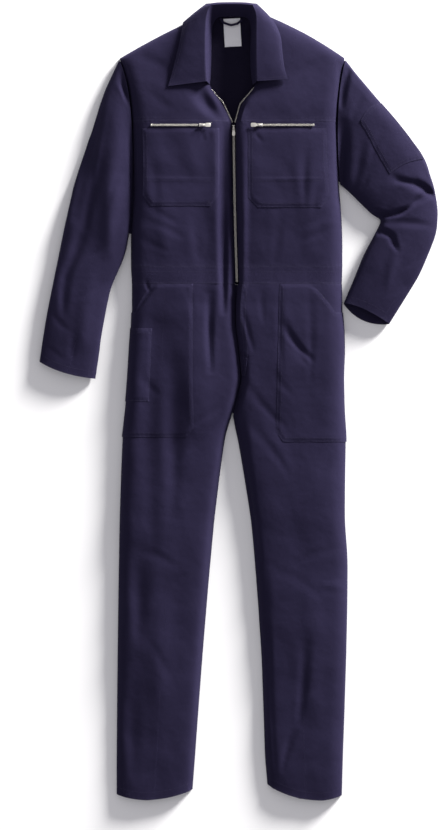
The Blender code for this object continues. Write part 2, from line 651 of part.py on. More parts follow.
def surface_at(grid, x):
    """Point of a bodice between its two zip rows, at a place across it."""
    first, second = (grid.points[row] for row in CHAIN_ROWS)
    line = [(a + b) / 2.0 for a, b in zip(first, second)]
    for a, b in zip(line, line[1:]):
        if min(a.x, b.x) <= x <= max(a.x, b.x):
            return a.lerp(b, (x - a.x) / (b.x - a.x))
    raise ValueError("no cloth at that place")


def chest_zip(side, grid, metal):
    start, end = CHEST_CHAINS[side]
    columns = [point.x for point in grid.points[CHAIN_ROWS[0]] if start < point.x < end]
    route = [surface_at(grid, x) for x in [start] + sorted(columns) + [end]]
    lifted = [point + Vector((0.0, 0.0, LAY_GAP)) for point in route]
    bar("chest_zip_" + side, lifted, CHEST_CHAIN_WIDTH, CHEST_CHAIN_HEIGHT, metal)
    x = CHEST_SLIDERS[side]
    under = [surface_at(grid, x + step) for step in (-SLIDER["half_length"], 0.0, SLIDER["half_length"])]
    height = max(point.z for point in under) + LAY_GAP + PIVOT_HEIGHT
    slider_and_pull("chest", (x, under[1].y, height), CHEST_TURN[side], CHEST_PULL, metal, "_" + side)


# ---- sliders and pull tabs, modelled in millimetres with the pull along -Y from its pivot ----

def pierced(shape, outer, hole):
    """Solid with one hole. Each outline is a list of point pairs, one point on either side."""
    rings = []
    for outline in (outer, hole):
        rings.append([[shape.verts.new(pair[side]) for pair in outline] for side in (0, 1)])
    count = len(outer)
    for k in range(count):
        n = (k + 1) % count
        for near, far in rings:
            shape.faces.new((near[k], far[k], far[n], near[n]))
        for side in (0, 1):
            a, b = rings[0][side], rings[1][side]
            shape.faces.new((a[k], a[n], b[n], b[k]))


def slider_shape(shape):
    """Slider body, wider towards the open end, with a bridge over the pivot."""
    length, thick = SLIDER["half_length"], SLIDER["thick"]
    wide, narrow, slim = SLIDER["half_wide"], SLIDER["half_narrow"], BRIDGE["half_width"]
    top = -BAR / 2 - PLAY
    roof = BAR / 2 + PLAY
    crest = roof + BRIDGE["roof"]
    inside, outside = BRIDGE["half_inside"], BRIDGE["half_outside"]
    side_view = [(-length, top - thick, narrow), (length, top - thick, wide),
                 (length, top - SLIDER["shoulder"], wide), (outside, top, slim), (outside, roof, slim),
                 (inside, crest, slim), (-inside, crest, slim), (-outside, roof, slim),
                 (-outside, top, slim), (-length, top - SLIDER["shoulder"], narrow)]
    cut = TUNNEL_CORNER
    flat = inside - cut
    tunnel_view = [(-flat / 2, top), (flat / 2, top), (flat, top), (inside, top + cut),
                   (inside, roof - cut), (flat, roof), (-flat, roof), (-inside, roof - cut),
                   (-inside, top + cut), (-flat, top)]
    outer = [((-w, y, z), (w, y, z)) for y, z, w in side_view]
    hole = [((-slim, y, z), (slim, y, z)) for y, z in tunnel_view]
    pierced(shape, outer, hole)


def pull_shape(shape, size):
    """Flat tab with an eye that the slider's bridge passes through, and a pivot bar at its end."""
    half, neck, eye = size["width"] / 2, size["neck"] / 2, EYE["width"] / 2
    near, far, end = BAR / 2, -EYE["end"], -size["length"]
    corner = TAB["corner"]
    slim, wide = far - TAB["neck_end"], far - TAB["flare_end"]
    outline = [(-neck, near), (neck, near), (neck, slim), (half, wide), (half, end + corner),
               (half - corner, end), (-half + corner, end), (-half, end + corner), (-half, wide),
               (-neck, slim)]
    bend, turn, flat = far * EYE["bend"], far * EYE["corner"], eye * EYE["corner"]
    middle = eye - flat
    eye_line = [(-eye, -near), (eye, -near), (eye, bend), (eye, turn), (flat, far),
                (middle, far), (-middle, far), (-flat, far), (-eye, turn), (-eye, bend)]
    outer = [((x, y, -near), (x, y, near)) for x, y in outline]
    hole = [((x, y, -near), (x, y, near)) for x, y in eye_line]
    pierced(shape, outer, hole)


def slider_and_pull(kind, pivot, turn, pull_size, metal, suffix=""):
    for part, build in (("_slider", slider_shape), ("_pull", lambda shape: pull_shape(shape, pull_size))):
        shape = bmesh.new()
        build(shape)
        bmesh.ops.triangulate(shape, faces=shape.faces)
        bmesh.ops.scale(shape, verts=shape.verts, vec=(MM, MM, MM))
        bmesh.ops.rotate(shape, verts=shape.verts, cent=(0, 0, 0), matrix=Matrix.Rotation(turn, 3, "Z"))
        item = add_object(kind + part + suffix, shape, metal, smooth_degrees=30.0)
        item.location = metres(pivot)


# ---- the whole suit ----

FRONTS = {
    "front_yoke_right": YOKE_RIGHT, "front_yoke_left": YOKE_LEFT,
    "front_bodice_right": BODICE_RIGHT, "front_bodice_left": BODICE_LEFT,
    "front_waistband_right": WAIST_RIGHT, "front_waistband_left": WAIST_LEFT,
    "front_leg_right": LEG_RIGHT, "front_leg_left": LEG_LEFT,
}


def main():
    clear_scene()
    cloth = finish_of("navy_twill", NAVY, 0.85)
    inside = finish_of("navy_twill_inside", NAVY_INSIDE, 0.9)
    tape = finish_of("zip_tape", TAPE_NAVY, 0.9)
    metal = finish_of("nickel", NICKEL, 0.35, 1.0)
    satin = finish_of("label_satin", WHITE_SATIN, 0.6)

    grids = {name: front_grid(table) for name, table in FRONTS.items()}
    for name, grid in grids.items():
        panel(name, grid, cloth)
    backs(inside)
    sleeve("sleeve_right", SLEEVE_RIGHT, 0.0, cloth)
    arm = sleeve("sleeve_left", SLEEVE_LEFT, CUFF_DROP, cloth)
    collar(cloth)

    for side in ("right", "left"):
        bodice = grids["front_bodice_" + side]
        patch("chest_pocket_" + side, bodice, CHEST_POCKET, cloth)
        patch("hip_pocket_" + side, grids["front_leg_" + side], hip_pocket_spec(side), cloth)
        chest_zip(side, bodice, metal)
    over_pocket = LAY_GAP + PATCH + LAY_GAP
    patch("rule_pocket", grids["front_leg_right"], RULE_POCKET, cloth, over_pocket, RULE_PATCH)
    patch("fly", grids["front_leg_left"], FLY, cloth, low=2 * LAY_GAP)
    patch("sleeve_pocket", arm, SLEEVE_POCKET, cloth)
    front_zip(grids, tape, metal)
    bar("hanger_loop", [Vector(point) for point in HANGER_LOOP], *HANGER_SIZE, tape)
    bar("care_label", [Vector(point) for point in LABEL_LINE], *LABEL_SIZE, satin)


main()
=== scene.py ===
import bmesh
import bpy
import math
import numpy as np
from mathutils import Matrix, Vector
from mathutils.bvhtree import BVHTree
from mathutils.kdtree import KDTree


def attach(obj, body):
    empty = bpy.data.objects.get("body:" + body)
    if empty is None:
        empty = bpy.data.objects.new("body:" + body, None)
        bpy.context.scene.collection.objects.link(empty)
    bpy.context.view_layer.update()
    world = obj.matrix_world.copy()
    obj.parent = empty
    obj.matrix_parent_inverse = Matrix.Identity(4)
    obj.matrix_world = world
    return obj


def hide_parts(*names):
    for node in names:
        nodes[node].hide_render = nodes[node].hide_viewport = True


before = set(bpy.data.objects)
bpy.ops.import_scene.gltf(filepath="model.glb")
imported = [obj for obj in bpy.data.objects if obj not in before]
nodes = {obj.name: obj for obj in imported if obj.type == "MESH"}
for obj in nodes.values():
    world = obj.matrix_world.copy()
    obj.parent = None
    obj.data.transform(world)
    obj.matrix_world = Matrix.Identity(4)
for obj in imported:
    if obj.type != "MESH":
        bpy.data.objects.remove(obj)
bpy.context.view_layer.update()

mm = 0.001
weldDistance = 1e-6
rimAngle = math.radians(52)
cornerAngle = math.radians(24)
bpy.ops.object.select_all(action="DESELECT")
print("frame loaded:", len(nodes), "nodes")

# Places and sizes below are millimetres in the frame: +Y to the collar, +Z up, the wearer's right at -X.


def onlySelect(item):
    bpy.ops.object.select_all(action="DESELECT")
    item.select_set(True)
    bpy.context.view_layer.objects.active = item


def applyModifier(item, kind, **settings):
    onlySelect(item)
    modifier = item.modifiers.new(kind.lower(), kind)
    for key, value in settings.items():
        setattr(modifier, key, value)
    bpy.ops.object.modifier_apply(modifier=modifier.name)


def newObject(name, mesh):
    item = bpy.data.objects.new(name, mesh)
    bpy.context.scene.collection.objects.link(item)
    return item


# finishes

def nodeIn(tree, kind, **settings):
    made = tree.nodes.new(kind)
    for key, value in settings.items():
        if key in made.inputs:
            made.inputs[key].default_value = value
        else:
            setattr(made, key, value)
    return made


def clothFinish(name, look):
    material = bpy.data.materials.new(name)
    material.use_nodes = True
    tree = material.node_tree
    link = tree.links.new
    shader = tree.nodes["Principled BSDF"]
    weave = nodeIn(tree, "ShaderNodeUVMap", uv_map="grain")
    space = nodeIn(tree, "ShaderNodeTexCoord")
    # twill: fine diagonal ribs along the grain, broken up by the yarns that cross them
    turn = nodeIn(tree, "ShaderNodeMapping")
    turn.inputs["Rotation"].default_value = (0.0, 0.0, look["ribAngle"])
    ribs = nodeIn(tree, "ShaderNodeTexWave", Scale=look["ribScale"], Distortion=0.6, Detail=1.0)
    yarns = nodeIn(tree, "ShaderNodeTexNoise", Scale=look["yarnScale"], Detail=3.0, Roughness=0.7)
    stretch = nodeIn(tree, "ShaderNodeMapping")
    stretch.inputs["Scale"].default_value = (1.0, 0.25, 1.0)
    link(weave.outputs["UV"], turn.inputs["Vector"])
    link(turn.outputs["Vector"], ribs.inputs["Vector"])
    link(weave.outputs["UV"], stretch.inputs["Vector"])
    link(stretch.outputs["Vector"], yarns.inputs["Vector"])
    # slow clouds of dye, and the lighter rubbed edges
    clouds = nodeIn(tree, "ShaderNodeTexNoise", Scale=look["cloudScale"], Detail=4.0, Roughness=0.55)
    link(space.outputs["Object"], clouds.inputs["Vector"])
    dyed = nodeIn(tree, "ShaderNodeMix", data_type="RGBA")
    dyed.inputs["A"].default_value = look["dark"]
    dyed.inputs["B"].default_value = look["light"]
    cloudRamp = nodeIn(tree, "ShaderNodeMapRange")
    cloudRamp.inputs["From Min"].default_value = 0.3
    cloudRamp.inputs["From Max"].default_value = 0.7
    link(clouds.outputs["Fac"], cloudRamp.inputs["Value"])
    link(cloudRamp.outputs["Result"], dyed.inputs["Factor"])
    ribbed = nodeIn(tree, "ShaderNodeMix", data_type="RGBA", blend_type="MULTIPLY")
    ribbed.inputs["Factor"].default_value = look["ribColour"]
    link(dyed.outputs["Result"], ribbed.inputs["A"])
    link(ribs.outputs["Color"], ribbed.inputs["B"])
    yarned = nodeIn(tree, "ShaderNodeMix", data_type="RGBA", blend_type="OVERLAY")
    yarned.inputs["Factor"].default_value = look["yarnColour"]
    link(ribbed.outputs["Result"], yarned.inputs["A"])
    link(yarns.outputs["Fac"], yarned.inputs["B"])
    wear = nodeIn(tree, "ShaderNodeAttribute", attribute_name="rub")
    worn = nodeIn(tree, "ShaderNodeMix", data_type="RGBA")
    worn.inputs["B"].default_value = look["rubbed"]
    rubbing = nodeIn(tree, "ShaderNodeMath", operation="MULTIPLY")
    rubbing.inputs[1].default_value = look["rub"]
    link(wear.outputs["Fac"], rubbing.inputs[0])
    link(rubbing.outputs["Value"], worn.inputs["Factor"])
    link(yarned.outputs["Result"], worn.inputs["A"])
    link(worn.outputs["Result"], shader.inputs["Base Color"])
    shader.inputs["Roughness"].default_value = look["roughness"]
    shader.inputs["Specular IOR Level"].default_value = look["gloss"]
    shader.inputs["Sheen Weight"].default_value = look["sheen"]
    shader.inputs["Sheen Roughness"].default_value = 0.45
    shader.inputs["Sheen Tint"].default_value = look["sheenTint"]
    # relief of ribs, yarns and the slight cockling of washed cloth
    cockle = nodeIn(tree, "ShaderNodeTexNoise", Scale=look["cockleScale"], Detail=2.0)
    link(space.outputs["Object"], cockle.inputs["Vector"])
    reliefs = ((cockle.outputs["Fac"], look["cockleDepth"]), (ribs.outputs["Fac"], look["ribDepth"]),
               (yarns.outputs["Fac"], look["yarnDepth"]))
    before = None
    for height, depth in reliefs:
        bump = nodeIn(tree, "ShaderNodeBump", Strength=1.0, Distance=depth)
        link(height, bump.inputs["Height"])
        if before:
            link(before.outputs["Normal"], bump.inputs["Normal"])
        before = bump
    link(before.outputs["Normal"], shader.inputs["Normal"])
    return material


def metalFinish(name, look):
    material = bpy.data.materials.new(name)
    material.use_nodes = True
    tree = material.node_tree
    link = tree.links.new
    shader = tree.nodes["Principled BSDF"]
    space = nodeIn(tree, "ShaderNodeTexCoord")
    blotch = nodeIn(tree, "ShaderNodeTexNoise", Scale=look["blotchScale"], Detail=5.0)
    link(space.outputs["Object"], blotch.inputs["Vector"])
    tone = nodeIn(tree, "ShaderNodeMix", data_type="RGBA")
    tone.inputs["A"].default_value = look["dull"]
    tone.inputs["B"].default_value = look["bright"]
    link(blotch.outputs["Fac"], tone.inputs["Factor"])
    link(tone.outputs["Result"], shader.inputs["Base Color"])
    rough = nodeIn(tree, "ShaderNodeMapRange")
    rough.inputs["To Min"].default_value = look["smooth"]
    rough.inputs["To Max"].default_value = look["rough"]
    link(blotch.outputs["Fac"], rough.inputs["Value"])
    link(rough.outputs["Result"], shader.inputs["Roughness"])
    scratch = nodeIn(tree, "ShaderNodeTexNoise", Scale=look["scratchScale"], Detail=3.0)
    link(space.outputs["Object"], scratch.inputs["Vector"])
    bump = nodeIn(tree, "ShaderNodeBump", Strength=0.4, Distance=0.00005)
    link(scratch.outputs["Fac"], bump.inputs["Height"])
    link(bump.outputs["Normal"], shader.inputs["Normal"])
    shader.inputs["Metallic"].default_value = 1.0
    return material


twillLook = {
    "dark": (0.0150, 0.0122, 0.0338, 1.0), "light": (0.0174, 0.0144, 0.0390, 1.0),
    "rubbed": (0.036, 0.032, 0.068, 1.0), "rub": 0.30,
    "ribAngle": math.radians(63), "ribScale": 330.0, "ribColour": 0.22, "ribDepth": 0.00010,
    "yarnScale": 900.0, "yarnColour": 0.30, "yarnDepth": 0.00008,
    "cloudScale": 7.0, "cockleScale": 34.0, "cockleDepth": 0.0012,
    "roughness": 0.88, "gloss": 0.07, "sheen": 0.03, "sheenTint": (0.50, 0.44, 1.0, 1.0),
}
# the cloth's inside face: its ribs run the other way, which is real, and its darker colour is painted shade
# for the suit's shaded inside
insideShadedLook = dict(twillLook, dark=(0.0095, 0.0078, 0.0200, 1.0), light=(0.0112, 0.0094, 0.0232, 1.0),
                  ribAngle=math.radians(-63), gloss=0.05, sheen=0.02, rub=0.1)
tapeLook = dict(twillLook, dark=(0.012, 0.010, 0.024, 1.0), light=(0.017, 0.014, 0.032, 1.0),
                ribAngle=0.0, ribScale=520.0, cockleDepth=0.0002, rub=0.1)
threadLook = dict(twillLook, dark=(0.0170, 0.0140, 0.0370, 1.0), light=(0.0220, 0.0185, 0.0460, 1.0),
                  ribScale=900.0, ribColour=0.1, cockleDepth=0.0, roughness=0.7, gloss=0.15, rub=0.0)
satinLook = dict(twillLook, dark=(0.93, 0.93, 0.96, 1.0), light=(0.97, 0.97, 0.99, 1.0),
                 rubbed=(0.62, 0.63, 0.70, 1.0), rub=0.5, ribAngle=0.0, ribScale=600.0, ribColour=0.06,
                 yarnColour=0.08, roughness=0.55, gloss=0.5, sheen=0.6, sheenTint=(1.0, 1.0, 1.0, 1.0),
                 cockleDepth=0.0003)
nickelLook = {
    "bright": (0.96, 0.93, 0.86, 1.0), "dull": (0.80, 0.77, 0.70, 1.0), "smooth": 0.30, "rough": 0.48,
    "blotchScale": 260.0, "scratchScale": 2200.0,
}
twill = clothFinish("twill", twillLook)
twillInside = clothFinish("twillInside", insideShadedLook)
tapeWeave = clothFinish("tapeWeave", tapeLook)
thread = clothFinish("thread", threadLook)
satin = clothFinish("satin", satinLook)
nickel = metalFinish("nickel", nickelLook)
print("finishes made")


# creases, laid one by one

# x0 y0 x1 y1: from and to. width: half width. depth: under zero a trough, over zero a ridge.
# bow: how far the middle bends sideways.
creases = [
    # shoulders and armholes
    (-239, 672, -221, 600, 8, -4.0, 3), (-246, 657, -228, 608, 7, -1.8, -2),
    (-218, 548, -217, 408, 8, -3.4, 0),
    (206, 688, 198, 602, 9, -4.0, -3), (226, 684, 209, 596, 9, -6.5, 3), (211, 560, 204, 402, 12, -9.0, -3),
    (-205, 700, -120, 655, 13, -0.8, -5), (186, 702, 108, 652, 13, -0.8, 4),
    (-190, 640, -130, 590, 18, -0.9, 6),
    (178, 640, 120, 596, 17, -0.8, -5),
    # beside the zip the fronts fall away
    (-31, 600, -31, 180, 13, -7.0, 0), (-30, 400, -31, 190, 12, -4.6, 0), (-68, 590, -68, 200, 32, -2.6, 0),
    (9, 575, 10, 225, 12, 2.8, 0), (-86, 636, -44, 576, 20, -8.0, 3), (-74, 545, -69, 523, 4, -1.0, 1),
    (32, 544, 48, 523, 5, -1.1, 1), (-60, 545, -58, 528, 4, -0.7, 0),
    # chest and belly
    (136, 512, 134, 396, 13, -2.0, 3), (-150, 540, -76, 430, 24, -0.9, 8),
    (-186, 520, -168, 380, 16, -1.2, -6),
    (60, 520, 112, 420, 22, -0.8, -8), (176, 470, 150, 380, 15, -1.2, 5),
    (-196, 410, -120, 360, 14, -1.1, 6),
    (-208, 372, -110, 330, 13, -1.0, -4), (-206, 336, -140, 302, 10, -0.8, 3),
    (196, 400, 130, 352, 14, -1.1, -5),
    (200, 350, 120, 318, 12, -1.0, 4), (-88, 380, -80, 280, 14, -1.2, 3), (80, 385, 72, 285, 13, -1.0, -3),
    (-216, 358, -218, 204, 6, -1.4, 0), (-150, 410, -146, 290, 26, 1.2, 4),
    (140, 400, 138, 290, 24, 1.0, -4),
    # waist and hips
    (-58, 216, -57, 60, 10, -5.4, 2), (-188, 244, -180, 222, 6, -1.6, 1),
    (-104, 228, -92, 160, 10, -0.9, -2),
    (-171, 231, -209, 180, 5, -3.4, 1), (84, 232, 88, 60, 10, -1.3, 3), (140, 236, 144, 40, 12, -1.2, -4),
    (46, 230, 50, 160, 9, -1.1, 2), (91, 155, 148, 84, 10, -3.6, 5), (104, 110, 138, 70, 9, -1.0, -3),
    (70, 60, 112, 10, 12, -0.8, 4), (9, 181, 30, 102, 7, -1.5, 1), (-4, 102, 18, 88, 5, -3.4, 1),
    (-200, 60, -160, 10, 14, -1.1, 4),
    (-140, 140, -134, -232, 26, -4.2, -5), (-96, 60, -92, -60, 16, 1.4, 3),
    # fork, and the pulls that spread from it
    (9, 84, 11, 34, 9, -4.2, 1), (12, 40, -8, -30, 9, -4.2, 3), (4, -30, 42, -322, 11, -4.0, 3),
    (-14, 20, -96, -50, 12, -1.5, -5), (-24, -30, -110, -120, 13, -1.4, 5), (20, 30, 92, -50, 12, -1.4, 5),
    (16, -40, 100, -150, 14, -1.2, -5), (-44, -110, -110, -200, 16, -0.9, -8),
    (196, -90, 130, -190, 15, -1.0, -6),
    # right leg: its outer third falls away from the crease line
    (-178, -60, -172, -300, 24, -1.6, 4), (-206, -300, -204, -480, 24, -3.6, -3),
    (-214, -540, -214, -750, 26, -3.8, 4),
    (-150, -180, -160, -720, 34, 2.2, 5), (-216, -300, -120, -340, 14, -1.0, -8),
    (-84, -340, -170, -404, 14, -0.8, 7),
    (-196, -470, -140, -560, 15, -0.8, -5), (-110, -540, -170, -620, 15, -0.6, 6),
    (-120, -690, -190, -760, 12, -0.8, -3),
    # left leg
    (150, -120, 146, -700, 38, 2.0, -5), (206, -300, 110, -330, 15, -1.0, 7),
    (70, -340, 170, -400, 14, -0.9, -7),
    (214, -378, 166, -372, 11, 1.4, 2), (134, -476, 122, -652, 14, -3.0, -3),
    (56, -488, 60, -564, 9, -2.4, 0),
    (112, -662, 88, -746, 12, -2.4, 2), (190, -540, 130, -600, 14, -0.7, -5),
    (180, -700, 130, -752, 12, -0.7, 3),
    (52, -330, 74, -760, 10, -1.6, 2),
    (-70, 200, -84, -60, 46, 4.6, 0), (-178, 205, -182, -120, 40, -6.4, 0),
    # right sleeve: a long fold runs down it, and the cloth outside it faces away
    (-262, 640, -292, 440, 12, 1.6, 3), (-240, 630, -270, 310, 30, 4.4, 0),
    (-284, 640, -330, 380, 30, -7.0, 0), (-272, 500, -312, 352, 17, -4.6, 4),
    (-310, 366, -352, 250, 17, -4.6, -3), (-346, 276, -356, 180, 15, -3.8, 2),
    (-246, 440, -262, 300, 22, 3.0, 4),
    (-300, 260, -316, 110, 24, 2.2, 3), (-236, 470, -262, 400, 11, -1.1, 4),
    (-366, 280, -384, 190, 10, 1.4, 3),
    (-252, 330, -306, 290, 12, -1.0, -4), (-276, 240, -330, 206, 11, -0.9, -3),
    (-380, 180, -340, 140, 9, -0.8, 3),
    (-390, 110, -350, 82, 8, -0.7, 0), (-330, 150, -338, 84, 12, -1.3, 2),
    # left sleeve, bent at the elbow
    (262, 640, 226, 560, 12, -1.2, 4), (250, 530, 232, 430, 13, -2.2, -3),
    (300, 560, 266, 480, 12, -1.0, 5),
    (312, 451, 362, 441, 9, -4.6, 2), (350, 442, 394, 416, 12, -9.5, -3), (386, 422, 345, 392, 10, -8.6, 2),
    (274, 380, 314, 378, 8, -6.6, 2), (310, 378, 347, 393, 8, -7.6, 2), (288, 374, 283, 340, 9, -6.4, 2),
    (281, 346, 312, 332, 9, -5.4, -2), (306, 338, 322, 304, 8, -4.4, 1), (299, 361, 396, 354, 11, -2.6, -3),
    (284, 366, 218, 214, 9, -3.6, 3), (294, 384, 340, 440, 11, -1.4, -6), (330, 326, 300, 230, 16, 2.2, 4),
    (372, 300, 330, 268, 10, -1.0, -3), (340, 246, 300, 210, 9, -0.8, -3), (232, 420, 262, 452, 9, -1.2, 3),
    # flap rows on the chest pockets
    (-188, 449, -52, 448, 5, 0.7, 0), (29, 448, 170, 449, 5, 0.7, 0),
]
rippleWaves = [
    (0.061, 0.013, 0.0, 0.32), (-0.022, 0.047, 1.3, 0.28), (0.037, -0.033, 2.1, 0.26),
    (0.011, 0.083, 0.6, 0.20),
    (0.104, 0.041, 4.0, 0.14), (-0.074, 0.066, 5.2, 0.14), (0.015, 0.021, 3.3, 0.55),
]


def creaseHeight(x, y):
    total = np.zeros_like(x)
    for x0, y0, x1, y1, width, depth, bow in creases:
        along = np.array((x1 - x0, y1 - y0), float)
        length = math.hypot(*along)
        along /= length
        run = ((x - x0) * along[0] + (y - y0) * along[1]) / length
        near = np.clip(run, 0.0, 1.0)
        side = (x - x0) * along[1] - (y - y0) * along[0] - bow * 4.0 * near * (1.0 - near)
        away = np.hypot(side, (run - near) * length) / (width * (1.15 - 0.5 * near))
        # a soft trough with a low shoulder at either side
        shape = (1.0 - 0.7 * away ** 2) * np.exp(-1.15 * away ** 2)
        total += depth * shape * np.sin(math.pi * (0.08 + 0.84 * near))
    return total


def rippleHeight(x, y):
    return sum(size * np.sin(a * x + b * y + phase) for a, b, phase, size in rippleWaves)


# cloth pieces, each on the form of its solid

def rimEdges(shape):
    return [edge for edge in shape.edges
            if len(edge.link_faces) == 2 and edge.calc_face_angle(0.0) > rimAngle]


def openCopy(node):
    # a copy of a solid's mesh without materials, its corners merged, and the same open for editing
    mesh = nodes[node].data.copy()
    mesh.materials.clear()
    shape = bmesh.new()
    shape.from_mesh(mesh)
    bmesh.ops.remove_doubles(shape, verts=shape.verts, dist=weldDistance)
    return mesh, shape


def closeCopy(mesh, shape, name):
    shape.to_mesh(mesh)
    shape.free()
    return newObject(name, mesh)


def clothFrom(node, name, levels, longest):
    # a merged copy of the solid, its triangles paired, long cells halved, then rounded off
    mesh, shape = openCopy(node)
    bmesh.ops.join_triangles(shape, faces=shape.faces, angle_face_threshold=0.6, angle_shape_threshold=1.2)
    for _ in range(3):
        long = [edge for edge in shape.edges if edge.calc_length() > longest * mm]
        if long:
            bmesh.ops.subdivide_edges(shape, edges=long, cuts=1, use_grid_fill=True)
    crease = shape.edges.layers.float.new("crease_edge")
    for edge in rimEdges(shape):
        edge[crease] = 1.0
    corner = shape.verts.layers.float.new("crease_vert")
    # sleeves and yokes keep soft corners, so that they don't stand up in points
    softCorners = node.startswith("sleeve_") or "yoke" in node
    for vert in () if softCorners else shape.verts:
        turns = [(edge.other_vert(vert).co - vert.co).normalized() for edge in vert.link_edges
                 if edge[crease] > 0.5]
        turns = [turn for turn in turns if abs(turn.z) < 0.8]
        if len(turns) == 2 and turns[0].dot(turns[1]) > -math.cos(cornerAngle):
            vert[corner] = 1.0
    item = closeCopy(mesh, shape, name)
    item.data.name = name
    if levels:
        applyModifier(item, "SUBSURF", levels=levels, render_levels=levels)
    return item


def pointsOf(item):
    flat = np.empty(len(item.data.vertices) * 3)
    item.data.vertices.foreach_get("co", flat)
    return flat.reshape(-1, 3)


def rimPoints(item):
    shape = bmesh.new()
    shape.from_mesh(item.data)
    found = {vert.index: vert.co.copy() for edge in rimEdges(shape) for vert in edge.verts}
    shape.free()
    return list(found.values())


def rimDistance(item, places):
    # how far each place lies from the nearest corner of the piece's rim, in millimetres
    rim = rimPoints(item)
    tree = KDTree(len(rim))
    for n, place in enumerate(rim):
        tree.insert(place, n)
    tree.balance()
    return np.array([tree.find(Vector(place))[2] for place in places]) / mm


def addRub(item, values=None):
    # how worn the cloth is at each point, read by its finish; nothing given means not worn
    rub = item.data.attributes.new("rub", "FLOAT", "POINT")
    if values is not None:
        rub.data.foreach_set("value", values)


# millimetres: cloth below flatBelow keeps still, and is free after riseOver more
settling = {"flatBelow": 5.0, "riseOver": 12.0, "puckerReach": 7.0, "pressReach": 5.0, "rubReach": 2.2}


def settleCloth(item, free, pucker, press):
    # creases and ripples act where the cloth is off the back of the suit, puckers along its edges;
    # press: how far sewn edges are pressed down
    places = pointsOf(item)
    x, y, z = places.T / mm
    away = rimDistance(item, places)
    lift = np.clip((z - settling["flatBelow"]) / settling["riseOver"], 0.0, 1.0)
    lift = lift * lift * (3.0 - 2.0 * lift) * free
    change = lift * (creaseHeight(x, y) + rippleHeight(x, y))
    wave = np.sin(0.47 * (x + y) + 2.0 * np.sin(0.05 * x)) * np.sin(0.31 * (x - y) + 1.0)
    change += pucker * lift * np.exp(-away / settling["puckerReach"]) * (0.5 + 0.5 * wave)
    change -= press * lift * np.exp(-(away / settling["pressReach"]) ** 2)
    places[:, 2] += change * mm
    item.data.vertices.foreach_set("co", places.ravel())
    addRub(item, np.exp(-away / settling["rubReach"]) * (0.65 + 0.35 * wave))
    item.data.update()


def grainMap(item, line):
    # cloth coordinates in metres: across from the grain line, and along it
    everyPlace = pointsOf(item)
    places = everyPlace[:, :2]
    drop = everyPlace[:, 2].max() - everyPlace[:, 2]
    points = [np.array(point, float) * mm for point in line]
    best = np.full(len(places), 1e9)
    u = np.zeros(len(places))
    v = np.zeros(len(places))
    done = 0.0
    for start, end in zip(points, points[1:]):
        along = end - start
        length = np.hypot(*along)
        along /= length
        run = (places - start) @ along
        side = (places - start) @ np.array((along[1], -along[0]))
        over = np.hypot(side, run - np.clip(run, 0.0, length))
        near = over < best
        best[near] = over[near]
        u[near] = (side + np.sign(side) * drop * 0.7)[near]
        v[near] = (done + run)[near]
        done += length
    layer = item.data.uv_layers.new(name="grain")
    corner = np.empty(len(item.data.loops), int)
    item.data.loops.foreach_get("vertex_index", corner)
    layer.data.foreach_set("uv", np.stack((u[corner], v[corner]), 1).ravel())


def finishPiece(item, material, angle=38.0):
    item.data.materials.clear()
    item.data.materials.append(material)
    onlySelect(item)
    bpy.ops.object.shade_smooth_by_angle(angle=math.radians(angle))


# node: [width and length of the flat cut, its area, how it is held, what it rests on, grain line]
clothCuts = {
    "front_yoke_right": [(0.23, 0.22), 0.0342, "laid", ["back_bodice"], [(-120, 560), (-150, 790)]],
    "front_yoke_left": [(0.22, 0.23), 0.0365, "laid", ["back_bodice"], [(90, 560), (120, 790)]],
    "front_bodice_right": [(0.23, 0.29), 0.0654, "laid", ["back_bodice"], [(-118, 570), (-118, 270)]],
    "front_bodice_left": [(0.24, 0.29), 0.0681, "laid", ["back_bodice"], [(98, 570), (104, 270)]],
    "front_waistband_right": [(0.23, 0.038), 0.0082, "laid", ["back_waistband"], [(-230, 257), (10, 257)]],
    "front_waistband_left": [(0.23, 0.037), 0.0083, "laid", ["back_waistband"], [(-10, 257), (220, 257)]],
    "front_leg_right": [(0.26, 1.05), 0.2185, "laid", ["back_leg_right"], [(-112, 240), (-172, -810)]],
    "front_leg_left": [(0.25, 1.05), 0.2187, "laid", ["back_leg_left"], [(104, 240), (136, -810)]],
    "sleeve_right": [(0.29, 0.64), 0.1414, "laid", ["back_bodice"], [(-225, 640), (-262, 440), (-345, 60)]],
    "sleeve_left": [(0.29, 0.62), 0.1376, "folded", ["back_bodice"], [(215, 640), (345, 380), (255, 190)]],
    "collar": [(0.52, 0.13), 0.0328, "folded", ["front_yoke_right", "front_yoke_left"],
               [(-30, 640), (-30, 810)]],
    "fly": [(0.03, 0.19), 0.0049, "laid", ["front_leg_left"], [(10, 240), (12, 50)]],
    "chest_pocket_right": [(0.16, 0.16), 0.0239, "laid", ["front_bodice_right"],
                           [(-118, 553), (-118, 390)]],
    "chest_pocket_left": [(0.165, 0.16), 0.0255, "laid", ["front_bodice_left"], [(100, 553), (100, 390)]],
    "hip_pocket_right": [(0.16, 0.31), 0.0434, "laid", ["front_leg_right"], [(-150, 240), (-158, -75)]],
    "hip_pocket_left": [(0.16, 0.32), 0.0451, "laid", ["front_leg_left"], [(145, 240), (148, -85)]],
    "rule_pocket": [(0.065, 0.15), 0.0093, "laid", ["hip_pocket_right"], [(-200, 150), (-204, 0)]],
    "sleeve_pocket": [(0.076, 0.148), 0.0093, "laid", ["sleeve_left"], [(285, 590), (350, 480)]],
}
pieceName = {node: "".join(part.title() if n else part for n, part in enumerate(node.split("_")))
             for node in nodes}
pieceName.update(collar="collarCloth", fly="flyCloth")
fine = 3
cellLength = {"small": 36.0, "wide": 46.0, "back": 60.0, "tape": 20.0, "trim": 12.0}
puckerDepth = 0.35
patchPress = 1.3
cloth = {}
